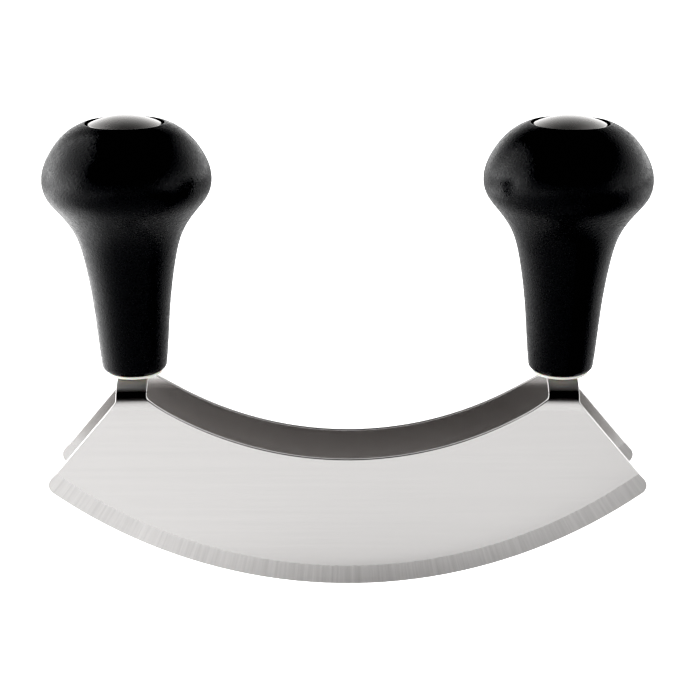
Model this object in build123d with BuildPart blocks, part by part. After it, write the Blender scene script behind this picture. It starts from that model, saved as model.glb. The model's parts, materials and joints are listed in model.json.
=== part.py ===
from build123d import *
from math import radians, sqrt, tan
import os

# Mezzaluna: two crescent blades bent from one steel sheet, with two upright knobs that
# turn on bolts. Millimetres. X runs along the blades, the front blade is at -Y and +Z is
# up. The origin is midway between the blades, level with the lowest points of both
# cutting edges.

# Twin blade
blade_thickness = 1.2
blades_width = 26.0             # over the outer faces of both blades
cutting_radius = 144.0
corner_span = 179.2             # from sharp end corner to sharp end corner
corner_rounding = 3.0
shoulder_depth = 5.64           # from the crowns down to the tops of the slanted end edges
back_end_depth = 4.64           # from the crowns down to the ends of the hollow back edge
back_height = 40.2              # lowest point of the hollow back edge
grind_width = 6.0
edge_land = 0.2                 # metal left across the very edge
crown_height = 63.3
bend_radius = 9.4               # outside of the bends
strap_width = 9.0
strap_root_rounding = 1.6
sheet_edge_rounding = 0.3

# Knobs
knob_inset = 26.6               # from each end corner in to the knob's axis
knob_over_bolt = 6.2            # rim above the bolt's end
knob_radius = 24.15
foot_radius = 9.3
foot_rounding = 2.0
rim_width = 0.4                 # flat ring left round the cap's recess
rim_rounding = 0.15
recess_radius = 11.2
recess_depth = 1.0
well_radius = 8.0
# Outline of the knob from foot to rim: height share, and share of the way from the foot's
# radius to the knob's radius.
swell_shares = (
    (0.281, 0.131),
    (0.458, 0.261),
    (0.568, 0.416),
    (0.663, 0.726),
    (0.731, 0.958),
    (0.786, 1.0),
    (0.895, 0.799),
    (0.956, 0.543),
)

# End caps
cap_radius = 10.4
cap_edge_height = 0.7
cap_edge_rounding = 0.3
dome_height = 2.3
cap_wall = 0.7
skirt_wall = 0.8
skirt_depth = 4.0
press_clearance = 0.02

# Fastening
bolt_radius = 2.0
bolt_length = 70.0
bolt_end_chamfer = 0.4
head_radius = 3.8
head_height = 2.2
head_rounding = 1.7
socket_width = 2.5              # across the flats
socket_depth = 1.3
hole_clearance = 0.15
lock_washer_radius = 3.8
lock_washer_thickness = 0.9
lock_washer_split = 0.7
thrust_washer_radius = 8.2
thrust_washer_thickness = 0.8
sleeve_radius = 3.25
sleeve_chamfer = 0.3
running_clearance = 0.05
end_play = 0.1
top_washer_radius = 4.5
top_washer_thickness = 0.8
washer_edge_rounding = 0.15
nut_width = 7.0                 # across the flats
nut_height = 5.0
hexagon_height = 3.5
nut_chamfer_angle = 30.0        # degrees from level
collar_radius = 3.2
collar_lip = 0.3
insert_radius = 2.75
thread_clearance = 0.02
thread_showing = 1.2            # bolt end above the nut

# Cutting solids run this far past the faces they cut.
overrun = 1.0

# Places along X
corner_x = corner_span / 2
knob_x = corner_x - knob_inset
strap_inner_x = knob_x - strap_width / 2
strap_outer_x = knob_x + strap_width / 2
sides = (("left", -knob_x), ("right", knob_x))

# Heights
corner_z = cutting_radius - sqrt(cutting_radius**2 - corner_x**2)
shoulder_z = crown_height - shoulder_depth
back_end_z = crown_height - back_end_depth
crown_underside_z = crown_height - blade_thickness
head_top_z = crown_underside_z - lock_washer_thickness
bolt_end_z = head_top_z + bolt_length
nut_top_z = bolt_end_z - thread_showing
nut_z = nut_top_z - nut_height
top_washer_z = nut_z - top_washer_thickness
well_floor_z = top_washer_z - end_play
knob_foot_z = crown_height + thrust_washer_thickness
knob_rim_z = bolt_end_z + knob_over_bolt
knob_height = knob_rim_z - knob_foot_z
recess_floor_z = knob_rim_z - recess_depth

# Radii that follow the bolt and the sleeve
bolt_hole_radius = bolt_radius + hole_clearance
knob_bore_radius = sleeve_radius + running_clearance
threaded_radius = bolt_radius + thread_clearance


def upright(centre_x, height=0):
    """Plane facing the front, with its origin on a knob's axis."""
    return Plane(origin=(centre_x, 0, height), x_dir=(1, 0, 0), z_dir=(0, -1, 0))


def turning_axis(centre_x):
    return Axis((centre_x, 0, 0), (0, 0, 1))


def keep(piece, name):
    piece.part.label = name
    export_step(piece.part, f"parts/{name}.step")


os.makedirs("parts", exist_ok=True)

# Twin blade: the flat outline, kept only where the bent sheet is
with BuildPart() as twin_blade:
    with BuildSketch(Plane.XZ) as outline:
        with BuildLine():
            ThreePointArc((-corner_x, corner_z), (0, 0), (corner_x, corner_z))
            ThreePointArc((-strap_inner_x, back_end_z), (0, back_height), (strap_inner_x, back_end_z))
            right_end = Polyline(
                (corner_x, corner_z),
                (strap_outer_x, shoulder_z),
                (strap_outer_x, crown_height + overrun),
                (strap_inner_x, crown_height + overrun),
                (strap_inner_x, back_end_z),
            )
            mirror(right_end, about=Plane.YZ)
        make_face()
        strap_roots = outline.vertices().sort_by(Axis.Y)[2:6]
        fillet(strap_roots, radius=strap_root_rounding)
        end_corners = outline.vertices().sort_by(Axis.Y)[:2]
        fillet(end_corners, radius=corner_rounding)
    extrude(amount=blades_width / 2 + overrun, both=True)

    middle_y = (blades_width - blade_thickness) / 2
    middle_z = crown_height - blade_thickness / 2
    with BuildSketch(Plane.YZ) as bent_sheet:
        with BuildLine():
            FilletPolyline(
                (-middle_y, -overrun),
                (-middle_y, middle_z),
                (middle_y, middle_z),
                (middle_y, -overrun),
                radius=bend_radius - blade_thickness / 2,
            )
        trace(line_width=blade_thickness)
    extrude(amount=corner_x + overrun, both=True, mode=Mode.INTERSECT)

    # Round the sheared edges. Edges as long as the sheet is thick run through it, and edges
    # along X are where a flat runs into a bend.
    longest_through = blade_thickness + sheet_edge_rounding
    straight_edges = twin_blade.edges().filter_by(GeomType.LINE)
    through_edges = straight_edges.filter_by(lambda edge: edge.length < longest_through)
    bend_lines = twin_blade.edges().filter_by(Axis.X)
    fillet(twin_blade.edges() - through_edges - bend_lines, radius=sheet_edge_rounding)

    # Grind both faces of each blade down to its cutting edge
    grind_depth = (blade_thickness - edge_land) / 2
    outer_y = blades_width / 2
    inner_y = outer_y - blade_thickness
    with BuildSketch(Plane.YZ) as grinding:
        for face_y, inward in ((-outer_y, 1), (-inner_y, -1), (inner_y, 1), (outer_y, -1)):
            with BuildLine():
                Polyline(
                    (face_y, grind_width),
                    (face_y + inward * grind_depth, 0),
                    (face_y + inward * grind_depth, -overrun),
                    (face_y - inward * overrun, -overrun),
                    (face_y - inward * overrun, grind_width),
                    close=True,
                )
            make_face()
    revolve(axis=Axis((0, 0, cutting_radius), (0, 1, 0)), mode=Mode.SUBTRACT)

    with Locations([(x, 0, crown_height) for side, x in sides]):
        Hole(radius=bolt_hole_radius, depth=blade_thickness + overrun)
keep(twin_blade, "twin_blade")

for side, centre_x in sides:
    axis = turning_axis(centre_x)

    # Knob: a turned outline with a sleeve bore, a nut well and a recess for the cap
    with BuildPart() as knob:
        with BuildSketch(upright(centre_x, knob_foot_z)) as knob_half:
            swell = [
                (foot_radius + share * (knob_radius - foot_radius), height_share * knob_height)
                for height_share, share in swell_shares
            ]
            well_floor = well_floor_z - knob_foot_z
            recess_floor = recess_floor_z - knob_foot_z
            with BuildLine():
                Spline((foot_radius, 0), *swell, (recess_radius + rim_width, knob_height))
                Polyline(
                    (recess_radius + rim_width, knob_height),
                    (recess_radius, knob_height),
                    (recess_radius, recess_floor),
                    (well_radius, recess_floor),
                    (well_radius, well_floor),
                    (knob_bore_radius, well_floor),
                    (knob_bore_radius, 0),
                    (foot_radius, 0),
                )
            make_face()
            foot_corner = knob_half.vertices().group_by(Axis.Y)[0].sort_by(Axis.X)[-1]
            fillet(foot_corner, radius=foot_rounding)
            fillet(knob_half.vertices().group_by(Axis.Y)[-1], radius=rim_rounding)
        revolve(axis=axis)
    keep(knob, f"knob_{side}")

    # End cap: a domed disc on the recess floor, with a skirt pressed into the well
    with BuildPart() as end_cap:
        with BuildSketch(upright(centre_x, recess_floor_z)) as cap_half:
            dome_radius = (cap_radius**2 + dome_height**2) / (2 * dome_height)
            dome_centre = cap_edge_height + dome_height - dome_radius
            skirt_radius = well_radius - press_clearance
            skirt_inner_radius = skirt_radius - skirt_wall
            inner_dome_radius = dome_radius - cap_wall
            inner_dome_edge = dome_centre + sqrt(inner_dome_radius**2 - skirt_inner_radius**2)
            with BuildLine():
                TangentArc(
                    (0, dome_centre + dome_radius),
                    (cap_radius, cap_edge_height),
                    tangent=(1, 0),
                )
                Polyline(
                    (cap_radius, cap_edge_height),
                    (cap_radius, 0),
                    (skirt_radius, 0),
                    (skirt_radius, -skirt_depth),
                    (skirt_inner_radius, -skirt_depth),
                    (skirt_inner_radius, inner_dome_edge),
                )
                TangentArc(
                    (0, dome_centre + inner_dome_radius),
                    (skirt_inner_radius, inner_dome_edge),
                    tangent=(1, 0),
                )
                Line((0, dome_centre + inner_dome_radius), (0, dome_centre + dome_radius))
            make_face()
            dome_edge = cap_half.vertices().group_by(Axis.X)[-1].sort_by(Axis.Y)[-1]
            fillet(dome_edge, radius=cap_edge_rounding)
        revolve(axis=axis)
    keep(end_cap, f"end_cap_{side}")

    # Through bolt: a domed head with a hexagon socket, between the blades
    with BuildPart() as bolt:
        with BuildSketch(Plane((centre_x, 0, head_top_z - head_height))):
            Circle(head_radius)
        extrude(amount=head_height)
        fillet(bolt.edges().sort_by(Axis.Z)[0], radius=head_rounding)
        with BuildSketch(Plane((centre_x, 0, head_top_z))):
            Circle(bolt_radius)
        extrude(amount=bolt_length)
        chamfer(bolt.edges().sort_by(Axis.Z)[-1], length=bolt_end_chamfer)
        with BuildSketch(Plane((centre_x, 0, head_top_z - head_height))):
            RegularPolygon(socket_width / 2, side_count=6, major_radius=False)
        extrude(amount=socket_depth, mode=Mode.SUBTRACT)
    keep(bolt, f"bolt_{side}")

    # Split lock washer under the crown, its split turned to the nearer end of the blades
    with BuildPart() as lock_washer:
        with BuildSketch(Plane((centre_x, 0, head_top_z))):
            Circle(lock_washer_radius)
            Circle(bolt_hole_radius, mode=Mode.SUBTRACT)
            outward = 1 if centre_x > 0 else -1
            with Locations((outward * lock_washer_radius / 2, 0)):
                Rectangle(lock_washer_radius + overrun, lock_washer_split, mode=Mode.SUBTRACT)
        extrude(amount=lock_washer_thickness)
    keep(lock_washer, f"lock_washer_{side}")

    # Thrust washer that the knob turns on
    with BuildPart() as thrust_washer:
        with BuildSketch(Plane((centre_x, 0, crown_height))):
            Circle(thrust_washer_radius)
            Circle(sleeve_radius + running_clearance, mode=Mode.SUBTRACT)
        extrude(amount=thrust_washer_thickness)
        rims = thrust_washer.edges().sort_by(SortBy.LENGTH)[-2:]
        fillet(rims, radius=washer_edge_rounding)
    keep(thrust_washer, f"thrust_washer_{side}")

    # Sleeve: carries the bolt's clamping force through the knob, so that the knob turns
    with BuildPart() as sleeve:
        with BuildSketch(Plane((centre_x, 0, crown_height))):
            Circle(sleeve_radius)
            Circle(bolt_hole_radius, mode=Mode.SUBTRACT)
        extrude(amount=top_washer_z - crown_height)
        rims = sleeve.edges().filter_by(GeomType.CIRCLE).sort_by(SortBy.RADIUS)[-2:]
        chamfer(rims, length=sleeve_chamfer)
    keep(sleeve, f"sleeve_{side}")

    # Top washer on the sleeve's end
    with BuildPart() as top_washer:
        with BuildSketch(Plane((centre_x, 0, top_washer_z))):
            Circle(top_washer_radius)
            Circle(bolt_hole_radius, mode=Mode.SUBTRACT)
        extrude(amount=top_washer_thickness)
        rims = top_washer.edges().sort_by(SortBy.LENGTH)[-2:]
        fillet(rims, radius=washer_edge_rounding)
    keep(top_washer, f"top_washer_{side}")

    # Lock nut: a hexagon with a round collar that grips the insert
    with BuildPart() as lock_nut:
        with BuildSketch(Plane((centre_x, 0, nut_z))):
            RegularPolygon(nut_width / 2, side_count=6, major_radius=False)
        extrude(amount=hexagon_height)
        with BuildSketch(upright(centre_x, nut_z)):
            half_width = nut_width / 2
            chamfer_reach = half_width + overrun
            chamfer_rise = overrun * tan(radians(nut_chamfer_angle))
            with BuildLine():
                Polyline(
                    (0, 0),
                    (half_width, 0),
                    (chamfer_reach, chamfer_rise),
                    (chamfer_reach, hexagon_height - chamfer_rise),
                    (half_width, hexagon_height),
                    (0, hexagon_height),
                    close=True,
                )
            make_face()
        revolve(axis=axis, mode=Mode.INTERSECT)
        with BuildSketch(Plane((centre_x, 0, nut_z + hexagon_height))):
            Circle(collar_radius)
        extrude(amount=nut_height - hexagon_height)
        fillet(lock_nut.edges().sort_by(Axis.Z)[-1], radius=collar_lip)
        with Locations((centre_x, 0, nut_top_z)):
            Hole(radius=threaded_radius)
            Hole(radius=insert_radius, depth=nut_height - hexagon_height)
    keep(lock_nut, f"lock_nut_{side}")

    # Nut insert: the soft ring inside the nut's collar
    with BuildPart() as nut_insert:
        with BuildSketch(Plane((centre_x, 0, nut_z + hexagon_height))):
            Circle(insert_radius - press_clearance)
            Circle(threaded_radius, mode=Mode.SUBTRACT)
        extrude(amount=nut_height - hexagon_height - collar_lip)
    keep(nut_insert, f"nut_insert_{side}")
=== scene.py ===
import json
from math import pi, radians

import bpy
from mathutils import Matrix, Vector

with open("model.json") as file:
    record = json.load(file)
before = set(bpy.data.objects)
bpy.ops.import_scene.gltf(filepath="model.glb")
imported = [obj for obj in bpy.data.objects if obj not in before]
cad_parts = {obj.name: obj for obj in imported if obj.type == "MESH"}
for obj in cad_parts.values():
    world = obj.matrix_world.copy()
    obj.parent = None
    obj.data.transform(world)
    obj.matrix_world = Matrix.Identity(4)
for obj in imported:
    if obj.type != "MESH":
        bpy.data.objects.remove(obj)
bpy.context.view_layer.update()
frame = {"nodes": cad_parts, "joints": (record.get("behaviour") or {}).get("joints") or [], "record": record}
nodes = frame["nodes"]

# The part's sizes, in metres. The knobs' place is read from the frame, and the cutting edges'
# radius and the grind's width are the same as in the CAD.
knob_x = frame["joints"][1]["pos_m"][0]
cutting_radius = 0.144
grind_width = 0.006

# Where a finish changes, in metres: the upper border of the grind, and the heights between
# which the straps turn duller
grind_raggedness = 0.00012
grind_blur = 0.00015
crown_starts = 0.0600
crown_ends = 0.0618

# Settings of the patterns: how far apart the two blades' own patterns lie, and the radius at
# which the turned pieces' rings are drawn, in metres
blade_pattern_gap = 40.0
ring_radius = 0.004


# Small helpers for node trees

def add(tree, kind, inputs=None, **settings):
    """A new node. inputs gives values, or other nodes' outputs to link, by name or number."""
    new = tree.nodes.new(kind)
    for name, value in settings.items():
        setattr(new, name, value)
    for name, value in (inputs or {}).items():
        if isinstance(value, bpy.types.NodeSocket):
            tree.links.new(value, new.inputs[name])
        else:
            new.inputs[name].default_value = value
    return new


def calculate(tree, operation, *values):
    settings = dict(enumerate(values))
    return add(tree, "ShaderNodeMath", settings, operation=operation).outputs[0]


def remap(tree, value, low, high, to_low, to_high, smooth=False):
    kind = "SMOOTHSTEP" if smooth else "LINEAR"
    settings = {
        "Value": value, "From Min": low, "From Max": high, "To Min": to_low, "To Max": to_high,
    }
    return add(tree, "ShaderNodeMapRange", settings, interpolation_type=kind).outputs[0]


def blend_values(tree, mask, low, high):
    settings = {0: mask, 2: low, 3: high}
    return add(tree, "ShaderNodeMix", settings, data_type="FLOAT").outputs[0]


def distance(tree, one, other):
    """The length of the diagonal over two values."""
    first = calculate(tree, "MULTIPLY", one, one)
    second = calculate(tree, "MULTIPLY", other, other)
    return calculate(tree, "SQRT", calculate(tree, "ADD", first, second))


def combine(tree, x, y, z):
    return add(tree, "ShaderNodeCombineXYZ", {"X": x, "Y": y, "Z": z}).outputs[0]


def tint(tree, colour, value):
    """The colour made lighter or darker by a value."""
    settings = {0: colour, "Scale": value}
    return add(tree, "ShaderNodeVectorMath", settings, operation="SCALE").outputs[0]


def new_group(name, inputs, outputs):
    """A shader node group with named sockets, and its input and output nodes."""
    tree = bpy.data.node_groups.new(name, "ShaderNodeTree")
    for socket, value in inputs.items():
        kind = "NodeSocketVector" if socket == "Coordinates" else "NodeSocketFloat"
        made = tree.interface.new_socket(name=socket, in_out="INPUT", socket_type=kind)
        if value is not None:
            made.default_value = value
    for socket in outputs:
        tree.interface.new_socket(name=socket, in_out="OUTPUT", socket_type="NodeSocketFloat")
    given = tree.nodes.new("NodeGroupInput").outputs
    result = tree.nodes.new("NodeGroupOutput").inputs
    return tree, given, result


def use(tree, group, **inputs):
    """The outputs of a node group, placed with its own values."""
    named = {name.replace("_", " "): value for name, value in inputs.items()}
    return add(tree, "ShaderNodeGroup", named, node_tree=group).outputs


# Effects that several finishes share

def grinding_lines():
    """Fine lines along the first coordinate, uneven in depth and length."""
    tree, given, result = new_group(
        "grinding lines",
        {"Coordinates": None, "Spacing": 0.0002, "Length": 0.02},
        ["Height", "Shade"],
    )
    parts = add(tree, "ShaderNodeSeparateXYZ", {0: given["Coordinates"]}).outputs
    along = calculate(tree, "DIVIDE", parts["X"], given["Length"])
    across = calculate(tree, "DIVIDE", parts["Y"], given["Spacing"])
    stretched = add(tree, "ShaderNodeCombineXYZ", {
        "X": along, "Y": across, "Z": parts["Z"],
    }).outputs[0]
    fine = add(tree, "ShaderNodeTexNoise", {
        "Vector": stretched, "Scale": 1.0, "Detail": 4.0, "Roughness": 0.7,
    })
    bands = add(tree, "ShaderNodeTexNoise", {"Vector": stretched, "Scale": 0.13, "Detail": 2.0})
    tree.links.new(fine.outputs["Fac"], result["Height"])
    both = calculate(tree, "ADD", fine.outputs["Fac"], bands.outputs["Fac"])
    tree.links.new(calculate(tree, "SUBTRACT", both, 1.0), result["Shade"])
    return tree


def moulded_grain():
    """The eroded grain of a mould: rounded bumps of uneven size, with scattered pits and glints."""
    tree, given, result = new_group(
        "moulded grain", {"Coordinates": None, "Grain Size": 0.0005}, ["Height", "Pits", "Glints"]
    )
    scale = calculate(tree, "DIVIDE", 1.0, given["Grain Size"])
    fine = add(tree, "ShaderNodeTexNoise", {
        "Vector": given["Coordinates"], "Scale": scale, "Detail": 2.0, "Roughness": 0.5,
    }).outputs["Fac"]
    cells = add(tree, "ShaderNodeTexVoronoi", {
        "Vector": given["Coordinates"], "Scale": calculate(tree, "MULTIPLY", scale, 0.8),
    })
    pits = remap(tree, cells.outputs["Distance"], 0.1, 0.6, 0.0, 1.0, smooth=True)
    chosen = add(tree, "ShaderNodeSeparateColor", {0: cells.outputs["Color"]}).outputs[0]
    height = calculate(tree, "MULTIPLY_ADD", fine, 1.2, calculate(tree, "MULTIPLY", pits, 0.3))
    tree.links.new(height, result["Height"])
    tree.links.new(pits, result["Pits"])
    tree.links.new(chosen, result["Glints"])
    return tree


def handling_marks():
    """Soft smudges and thin crossing scratches left by use and washing."""
    tree, given, result = new_group(
        "handling marks", {"Coordinates": None, "Patch Size": 0.02}, ["Smudge", "Scratch"]
    )
    scale = calculate(tree, "DIVIDE", 1.0, given["Patch Size"])
    cloud = add(tree, "ShaderNodeTexNoise", {
        "Vector": given["Coordinates"], "Scale": scale,
        "Detail": 3.0, "Roughness": 0.55, "Distortion": 0.4,
    })
    smudge = remap(tree, cloud.outputs["Fac"], 0.35, 0.7, 0.0, 1.0, smooth=True)
    tree.links.new(smudge, result["Smudge"])
    scratches = None
    for turn in (0.5, -0.85, 1.9):
        turned = add(tree, "ShaderNodeMapping", {
            "Vector": given["Coordinates"], "Rotation": (0, turn, 0), "Scale": (55.0, 40.0, 3200.0),
        }).outputs[0]
        lines = add(tree, "ShaderNodeTexNoise", {
            "Vector": turned, "Scale": 1.0, "Detail": 1.0,
        }).outputs["Fac"]
        thin = remap(tree, lines, 0.74, 0.80, 0.0, 1.0, smooth=True)
        scratches = thin if scratches is None else calculate(tree, "MAXIMUM", scratches, thin)
    tree.links.new(scratches, result["Scratch"])
    return tree


lines_effect = grinding_lines()
grain_effect = moulded_grain()
marks_effect = handling_marks()


# Materials

def new_material(name):
    material = bpy.data.materials.new(name)
    material.use_nodes = True
    tree = material.node_tree
    shader = tree.nodes["Principled BSDF"]
    place = tree.nodes.new("ShaderNodeTexCoord").outputs["Object"]
    return material, tree, shader, place


def connect(tree, shader, colour=None, roughness=None, height=None, depth=0.0):
    if colour is not None:
        tree.links.new(colour, shader.inputs["Base Color"])
    if roughness is not None:
        tree.links.new(roughness, shader.inputs["Roughness"])
    if height is not None:
        bump = add(tree, "ShaderNodeBump", {"Height": height, "Distance": depth, "Strength": 1.0})
        tree.links.new(bump.outputs[0], shader.inputs["Normal"])


def blade_steel():
    """Satin sheet, brushed along the blades, with a greyer bevel ground across each edge."""
    material, tree, shader, place = new_material("blade_steel")
    shader.inputs["Metallic"].default_value = 1.0
    x, y, z = add(tree, "ShaderNodeSeparateXYZ", {0: place}).outputs

    # Distance from the middle of the cutting edges' circle, and the way round it
    drop = calculate(tree, "SUBTRACT", cutting_radius, z)
    radius = distance(tree, x, drop)
    angle = calculate(tree, "ARCTAN2", x, drop)
    way_round = calculate(tree, "MULTIPLY", angle, cutting_radius)
    uneven = add(tree, "ShaderNodeTexNoise", {
        "Vector": place, "Scale": 900.0, "Detail": 2.0,
    }).outputs["Fac"]
    grind_line = cutting_radius - grind_width
    stray = remap(tree, uneven, 0.3, 0.7, -grind_raggedness, grind_raggedness)
    ragged = calculate(tree, "ADD", radius, stray)
    ground = remap(tree, ragged, grind_line - grind_blur, grind_line + grind_blur, 0.0, 1.0)

    blade_side = calculate(tree, "MULTIPLY", y, blade_pattern_gap)
    unrolled = calculate(tree, "SUBTRACT", z, calculate(tree, "ABSOLUTE", y))
    sheet_place = combine(tree, x, unrolled, blade_side)
    bevel_place = combine(tree, radius, way_round, blade_side)
    sheet = use(tree, lines_effect, Coordinates=sheet_place, Spacing=0.00016, Length=0.012)
    bevel = use(tree, lines_effect, Coordinates=bevel_place, Spacing=0.00013, Length=0.008)
    marks = use(tree, marks_effect, Coordinates=place, Patch_Size=0.03)

    sheet_shade = calculate(tree, "MULTIPLY_ADD", sheet["Shade"], 0.05, 1.0)
    bevel_shade = calculate(tree, "MULTIPLY_ADD", bevel["Shade"], 0.26, 0.965)
    shade = blend_values(tree, ground, sheet_shade, bevel_shade)
    shade = calculate(tree, "MULTIPLY_ADD", marks["Scratch"], 0.015, shade)
    sheet_rough = calculate(tree, "MULTIPLY_ADD", marks["Smudge"], 0.012, 0.25)
    bevel_rough = calculate(tree, "MULTIPLY_ADD", bevel["Height"], 0.10, 0.36)
    crown = remap(tree, z, crown_starts, crown_ends, 0.0, 1.0, smooth=True)
    sheet_rough = blend_values(tree, crown, sheet_rough, 0.55)
    sheet_height = calculate(tree, "MULTIPLY", sheet["Height"], 0.25)
    height = blend_values(tree, ground, sheet_height, bevel["Height"])
    connect(
        tree, shader,
        colour=tint(tree, (0.648, 0.638, 0.632), shade),
        roughness=blend_values(tree, ground, sheet_rough, bevel_rough),
        height=height, depth=0.000006,
    )
    return material


def knob_plastic():
    """Black moulded plastic with a fine eroded grain."""
    material, tree, shader, place = new_material("knob_plastic")
    shader.inputs["IOR"].default_value = 1.5
    grain = use(tree, grain_effect, Coordinates=place, Grain_Size=0.0006)
    marks = use(tree, marks_effect, Coordinates=place, Patch_Size=0.018)
    polished = calculate(tree, "MULTIPLY", marks["Smudge"], -0.05)
    rough = calculate(tree, "MULTIPLY_ADD", grain["Glints"], 0.16, 0.24)
    # The colour is darker in the grain's pits: painted shade in the hollows
    shade = calculate(tree, "MULTIPLY_ADD", grain["Pits"], 0.9, 0.6)
    connect(
        tree, shader,
        colour=tint(tree, (0.0034, 0.0036, 0.0046), shade),
        roughness=calculate(tree, "ADD", rough, polished),
        height=grain["Height"], depth=0.00005,
    )
    return material


def turned_steel(name, colour, roughness, spacing):
    """Steel with fine rings round an upright axis."""
    material, tree, shader, place = new_material(name)
    shader.inputs["Metallic"].default_value = 1.0
    x, y, z = add(tree, "ShaderNodeSeparateXYZ", {0: place}).outputs
    aside = calculate(tree, "SUBTRACT", calculate(tree, "ABSOLUTE", x), knob_x)
    radius = distance(tree, aside, y)
    across = calculate(tree, "ADD", radius, z)
    way_round = calculate(tree, "MULTIPLY", calculate(tree, "ARCTAN2", y, aside), ring_radius)
    ring_place = combine(tree, way_round, across, 0.0)
    rings = use(tree, lines_effect, Coordinates=ring_place, Spacing=spacing, Length=0.008)
    marks = use(tree, marks_effect, Coordinates=place, Patch_Size=0.01)
    shade = calculate(tree, "MULTIPLY_ADD", rings["Shade"], 0.08, 1.0)
    connect(
        tree, shader,
        colour=tint(tree, colour, shade),
        roughness=calculate(tree, "MULTIPLY_ADD", marks["Smudge"], 0.06, roughness),
        height=rings["Height"], depth=0.000004,
    )
    return material


def washer_nylon():
    """Natural white nylon, a little translucent."""
    material, tree, shader, place = new_material("washer_nylon")
    shader.inputs["Subsurface Weight"].default_value = 0.25
    shader.inputs["Subsurface Scale"].default_value = 0.001
    grain = use(tree, grain_effect, Coordinates=place, Grain_Size=0.0003)
    # The colour is a little darker in the grain's pits: painted shade in the hollows
    shade = calculate(tree, "MULTIPLY_ADD", grain["Pits"], 0.04, 0.96)
    connect(
        tree, shader,
        colour=tint(tree, (0.86, 0.85, 0.80), shade),
        roughness=calculate(tree, "MULTIPLY_ADD", grain["Pits"], 0.08, 0.38),
        height=grain["Height"], depth=0.000008,
    )
    return material


finishes = {
    "blade_steel": blade_steel(),
    "knob_plastic": knob_plastic(),
    "cap_steel": turned_steel("cap_steel", (0.62, 0.61, 0.60), 0.24, 0.00012),
    "fastener_steel": turned_steel("fastener_steel", (0.56, 0.55, 0.54), 0.22, 0.0002),
    "sleeve_steel": turned_steel("sleeve_steel", (0.52, 0.52, 0.51), 0.30, 0.00025),
    "washer_nylon": washer_nylon(),
}
for part in frame["record"]["subparts"]:
    mesh = nodes[part["node"]].data
    mesh.materials.clear()
    mesh.materials.append(finishes[part["material_slot"]])


# Floor, light and camera

floor_reach = 6.0
panel_aim = Vector((0, 0, 0.07))
panel_place = (-0.36, 0.03, 0.26)
panel_size = (0.44, 0.50)
panel_brightness = 1.05
camera_place = (0.0007, -0.456, 0.218)
camera_tilt = radians(72)
lens_length = 83.5
sensor_width = 36.0
black_level = 0.034

# The floor's painted glow, its own light that lights the part: where it changes, in metres from the part's
# middle, then how strong
far_sides = (0.20, 0.50)
left_side_edge = (-0.16, -0.10)
middle_to_back = (-0.08, 0.0)
far_behind = (0.20, 0.40)
shadow_front = (-0.030, -0.021)
shadow_back = (-0.013, 0.0)
shadow_deepens = (-0.065, 0.01)
shadow_curve = 5.5
shadow_depth = 0.65
between_blades = (0.009, 0.012)
blade_middle = (0.03, 0.08)
plain_glow = 0.46
far_side_glow = 1.05
left_back_glow = 0.68
far_behind_share = 0.40
between_glow = 0.35

# The room's light by direction, where 0 is level, 1 straight up or straight to one side
diffuser_aside = 0.985
diffuser_back = 0.174
diffuser_edge = (0.58, 0.80)
left_set_back = 0.12
left_to_right = (-0.1, 0.1)
left_level, left_slope, left_least = 1.95, -3.2, 0.15
right_level, right_slope, right_least = 1.75, -1.8, 0.35
wall_light = 1.4
wall_least = 0.06
card_light = 0.85
card_top = (0.46, 0.50)
crossing = (-0.3, 0.3)
room_seen_light = 0.95

floor_mesh = bpy.data.meshes.new("floor")
floor_mesh.from_pydata(
    [(-floor_reach, -floor_reach, 0), (floor_reach, -floor_reach, 0),
     (floor_reach, floor_reach, 0), (-floor_reach, floor_reach, 0)],
    [], [(0, 1, 2, 3)],
)
floor = bpy.data.objects.new("floor", floor_mesh)
bpy.context.scene.collection.objects.link(floor)

# The floor glows though it is no lamp: its emission is painted light, varied for what it lights and plain
# white to the camera
floor_painted_glow, tree, shader, place = new_material("floor_painted_glow")
shader.inputs["Base Color"].default_value = (0.80, 0.80, 0.80, 1)
shader.inputs["Roughness"].default_value = 0.7
shader.inputs["Emission Color"].default_value = (1, 1, 1, 1)
x, y, z = add(tree, "ShaderNodeSeparateXYZ", {0: place}).outputs
aside = calculate(tree, "ABSOLUTE", x)
away = remap(tree, aside, *far_sides, plain_glow, far_side_glow, smooth=True)
left_side = remap(tree, x, *left_side_edge, 1.0, 0.0, smooth=True)
from_middle_back = remap(tree, y, *middle_to_back, 0.0, left_back_glow, smooth=True)
near = calculate(tree, "MULTIPLY_ADD", left_side, from_middle_back, away)
far_back = remap(tree, y, *far_behind, 1.0, far_behind_share, smooth=True)
# A painted soft shadow in the floor's glow in front of the blades, deeper to the right, and painted light
# from between them
curved = calculate(tree, "MULTIPLY_ADD", calculate(tree, "MULTIPLY", x, x), shadow_curve, y)
close_in_front = remap(tree, curved, *shadow_front, 0.0, 1.0, smooth=True)
deeper = remap(tree, x, *shadow_deepens, 0.0, shadow_depth)
shadow = calculate(tree, "MULTIPLY", close_in_front, deeper)
shadow = calculate(tree, "MULTIPLY", shadow, remap(tree, y, *shadow_back, 1.0, 0.0))
unshaded = calculate(tree, "SUBTRACT", 1.0, shadow)
glow = calculate(tree, "MULTIPLY", calculate(tree, "MULTIPLY", near, far_back), unshaded)
off_middle = calculate(tree, "ABSOLUTE", y)
between = remap(tree, off_middle, *between_blades, between_glow, 0.0, smooth=True)
middle_part = remap(tree, aside, *blade_middle, 1.0, 0.0, smooth=True)
glow = calculate(tree, "MULTIPLY_ADD", between, middle_part, glow)
# The camera itself sees the floor as plain white
floor_seen = tree.nodes.new("ShaderNodeLightPath").outputs["Is Camera Ray"]
tree.links.new(blend_values(tree, floor_seen, glow, 1.0), shader.inputs["Emission Strength"])
floor_mesh.materials.append(floor_painted_glow)

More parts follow.
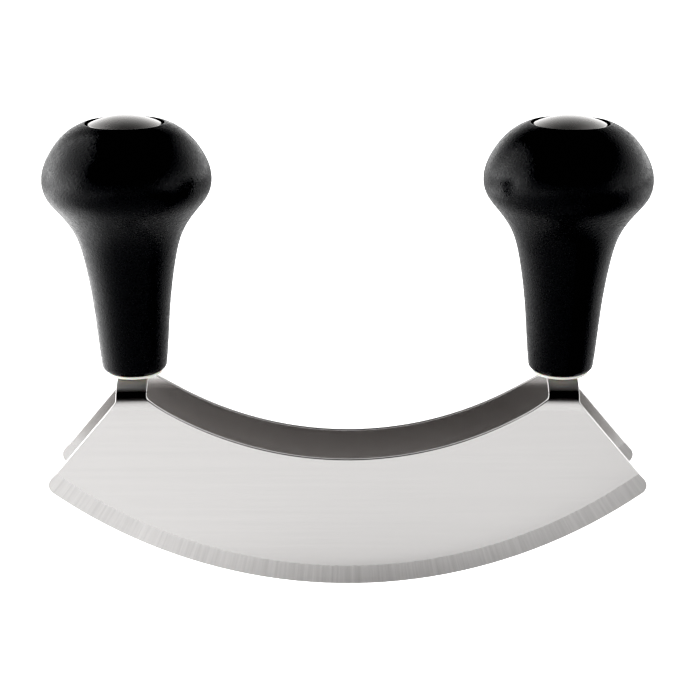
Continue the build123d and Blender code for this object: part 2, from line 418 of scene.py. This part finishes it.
# The room: tall diffusers at both sides, brightest low down, with the left one further back,
# a low card in front and a wall that fades upwards at the back, under a dark ceiling. The
# camera itself sees it as plain and pale.
world = bpy.data.worlds.new("studio")
bpy.context.scene.world = world
world.use_nodes = True
tree = world.node_tree
background = tree.nodes["Background"]
towards = tree.nodes.new("ShaderNodeTexCoord").outputs["Generated"]
x, y, z = add(tree, "ShaderNodeSeparateXYZ", {0: towards}).outputs
upward = calculate(tree, "MULTIPLY", z, z)
level = calculate(tree, "SQRT", calculate(tree, "SUBTRACT", 1.0, upward))
sideways = calculate(tree, "MULTIPLY", calculate(tree, "ABSOLUTE", x), diffuser_aside)
turned = calculate(tree, "MULTIPLY_ADD", y, diffuser_back, sideways)
facing = calculate(tree, "DIVIDE", turned, level)
further_back = remap(tree, x, *left_to_right, left_set_back, 0.0)
facing = calculate(tree, "SUBTRACT", facing, further_back)
diffuser = remap(tree, facing, *diffuser_edge, 0.0, 1.0, smooth=True)
left_light = calculate(tree, "MULTIPLY_ADD", z, left_slope, left_level)
left_light = calculate(tree, "MAXIMUM", left_light, left_least)
right_light = calculate(tree, "MULTIPLY_ADD", z, right_slope, right_level)
right_light = calculate(tree, "MAXIMUM", right_light, right_least)
side_light = blend_values(tree, remap(tree, x, *crossing, 0.0, 1.0), left_light, right_light)
fade = remap(tree, z, 0.0, 1.0, 1.0, 0.0)
faded = calculate(tree, "MULTIPLY", fade, fade)
back_wall = calculate(tree, "MULTIPLY_ADD", faded, wall_light, wall_least)
front_card = remap(tree, z, *card_top, card_light, 0.0)
in_front = remap(tree, y, *crossing, 1.0, 0.0)
middle_light = blend_values(tree, in_front, back_wall, front_card)
light = blend_values(tree, diffuser, middle_light, side_light)
room_seen = tree.nodes.new("ShaderNodeLightPath").outputs["Is Camera Ray"]
room_light = blend_values(tree, room_seen, light, room_seen_light)
tree.links.new(room_light, background.inputs["Strength"])
background.inputs["Color"].default_value = (1, 1, 1, 1)


def softbox(name, place, size, brightness):
    """A rectangular light turned to the object. Its brightness doesn't depend on its size."""
    lamp = bpy.data.lights.new(name, "AREA")
    lamp.shape = "RECTANGLE"
    lamp.size, lamp.size_y = size
    lamp.energy = brightness * pi * size[0] * size[1]
    stand = bpy.data.objects.new(name, lamp)
    stand.location = place
    stand.rotation_euler = (panel_aim - Vector(place)).to_track_quat("-Z", "Y").to_euler()
    stand.visible_camera = False
    bpy.context.scene.collection.objects.link(stand)


softbox("left panel", panel_place, panel_size, panel_brightness)

camera = bpy.data.cameras.new("camera")
camera.lens = lens_length
camera.sensor_width = sensor_width
viewpoint = bpy.data.objects.new("camera", camera)
viewpoint.location = camera_place
viewpoint.rotation_euler = (camera_tilt, 0, 0)
bpy.context.scene.collection.objects.link(viewpoint)
bpy.context.scene.camera = viewpoint
look = bpy.context.scene.view_settings
look.view_transform = "Standard"
look.look = "High Contrast"
look.use_curve_mapping = True
look.curve_mapping.black_level = (black_level, black_level, black_level)
look.curve_mapping.update()
